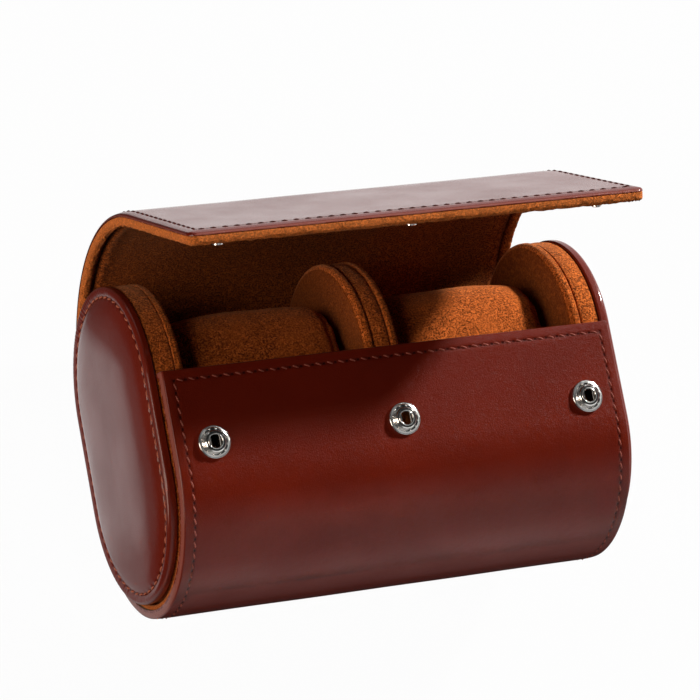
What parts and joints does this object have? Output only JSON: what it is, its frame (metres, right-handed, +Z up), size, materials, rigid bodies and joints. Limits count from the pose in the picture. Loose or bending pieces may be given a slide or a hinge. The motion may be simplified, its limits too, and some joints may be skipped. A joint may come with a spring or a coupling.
{
  "type": "watch travel case",
  "caption": "Leather watch roll of stadium section with suede-lined compartments, a curling snap-down lid, round end discs, a divider and lift-out cushions.",
  "frame": {"origin": "centre of the flat back face that the case rests on", "axes": "+X along the roll axis, +Y from the round bottom towards the mouth and the lid's hinge line, +Z up out of the front panel with the snaps"},
  "size_m": [0.1708, 0.1312, 0.1296],
  "materials": {
    "leather": "satin",
    "lining_suede": "matte",
    "cushion_suede": "matte",
    "board": "matte",
    "foam": "matte",
    "nickel": "polished"
  },
  "bodies": {
    "case": {"wrap_leather": "leather", "wrap_board": "board", "wrap_lining": "lining_suede", "left_end_leather": "leather", "left_end_pad": "foam", "left_end_board": "board", "left_end_band": "lining_suede", "left_end_face": "lining_suede", "right_end_leather": "leather", "right_end_pad": "foam", "right_end_board": "board", "right_end_band": "lining_suede", "right_end_face": "lining_suede", "divider_board": "board", "divider_band": "lining_suede", "divider_left_face": "lining_suede", "divider_right_face": "lining_suede", "snap_sockets": "nickel", "snap_springs": "nickel", "snap_socket_backs": "nickel"},
    "lid_1": {"lid_leather_1": "leather", "lid_lining_1": "lining_suede"},
    "lid_2": {"lid_leather_2": "leather", "lid_lining_2": "lining_suede"},
    "lid_3": {"lid_leather_3": "leather", "lid_lining_3": "lining_suede"},
    "lid_4": {"lid_leather_4": "leather", "lid_lining_4": "lining_suede"},
    "lid_5": {"lid_leather_5": "leather", "lid_lining_5": "lining_suede"},
    "lid_6": {"lid_leather_6": "leather", "lid_lining_6": "lining_suede"},
    "lid_7": {"lid_leather_7": "leather", "lid_lining_7": "lining_suede", "snap_studs": "nickel", "snap_stud_backs": "nickel"},
    "left_cushion": {"left_cushion_cover": "cushion_suede", "left_cushion_core": "foam"},
    "right_cushion": {"right_cushion_cover": "cushion_suede", "right_cushion_core": "foam"}
  },
  "joints": [
    {"name": "lid_fold_1", "type": "hinge", "parent": "case", "child": "lid_1", "pos_m": [0, 0.016, 0.0044], "axis": [1, 0, 0], "range_deg": [-13.88, 5.14]},
    {"name": "lid_fold_2", "type": "hinge", "parent": "lid_1", "child": "lid_2", "pos_m": [0, 0.04058, 0.01047], "axis": [1, 0, 0], "range_deg": [-27.75, 10.28]},
    {"name": "lid_fold_3", "type": "hinge", "parent": "lid_2", "child": "lid_3", "pos_m": [0, 0.05951, 0.02729], "axis": [1, 0, 0], "range_deg": [-27.75, 10.28]},
    {"name": "lid_fold_4", "type": "hinge", "parent": "lid_3", "child": "lid_4", "pos_m": [0, 0.06843, 0.05099], "axis": [1, 0, 0], "range_deg": [-27.75, 10.28]},
    {"name": "lid_fold_5", "type": "hinge", "parent": "lid_4", "child": "lid_5", "pos_m": [0, 0.06529, 0.07612], "axis": [1, 0, 0], "range_deg": [-13.88, 5.14]},
    {"name": "lid_tip_1", "type": "hinge", "parent": "lid_5", "child": "lid_6", "pos_m": [0, 0.06033, 0.08905], "axis": [1, 0, 0], "range_deg": [0, 13.94]},
    {"name": "lid_tip_2", "type": "hinge", "parent": "lid_6", "child": "lid_7", "pos_m": [0, 0.05675, 0.09839], "axis": [1, 0, 0], "range_deg": [0, 13.95]},
    {"name": "left_cushion_lift", "type": "slide", "parent": "case", "child": "left_cushion", "axis": [0, 1, 0], "range_m": [0, 0.008]},
    {"name": "right_cushion_lift", "type": "slide", "parent": "case", "child": "right_cushion", "axis": [0, 1, 0], "range_m": [0, 0.008]}
  ],
  "couplings": [
    {"joint": "lid_fold_2", "follows": "lid_fold_1", "ratio": 2},
    {"joint": "lid_fold_3", "follows": "lid_fold_1", "ratio": 2},
    {"joint": "lid_fold_4", "follows": "lid_fold_1", "ratio": 2},
    {"joint": "lid_fold_5", "follows": "lid_fold_1", "ratio": 1},
    {"joint": "lid_tip_2", "follows": "lid_tip_1", "ratio": 1}
  ]
}
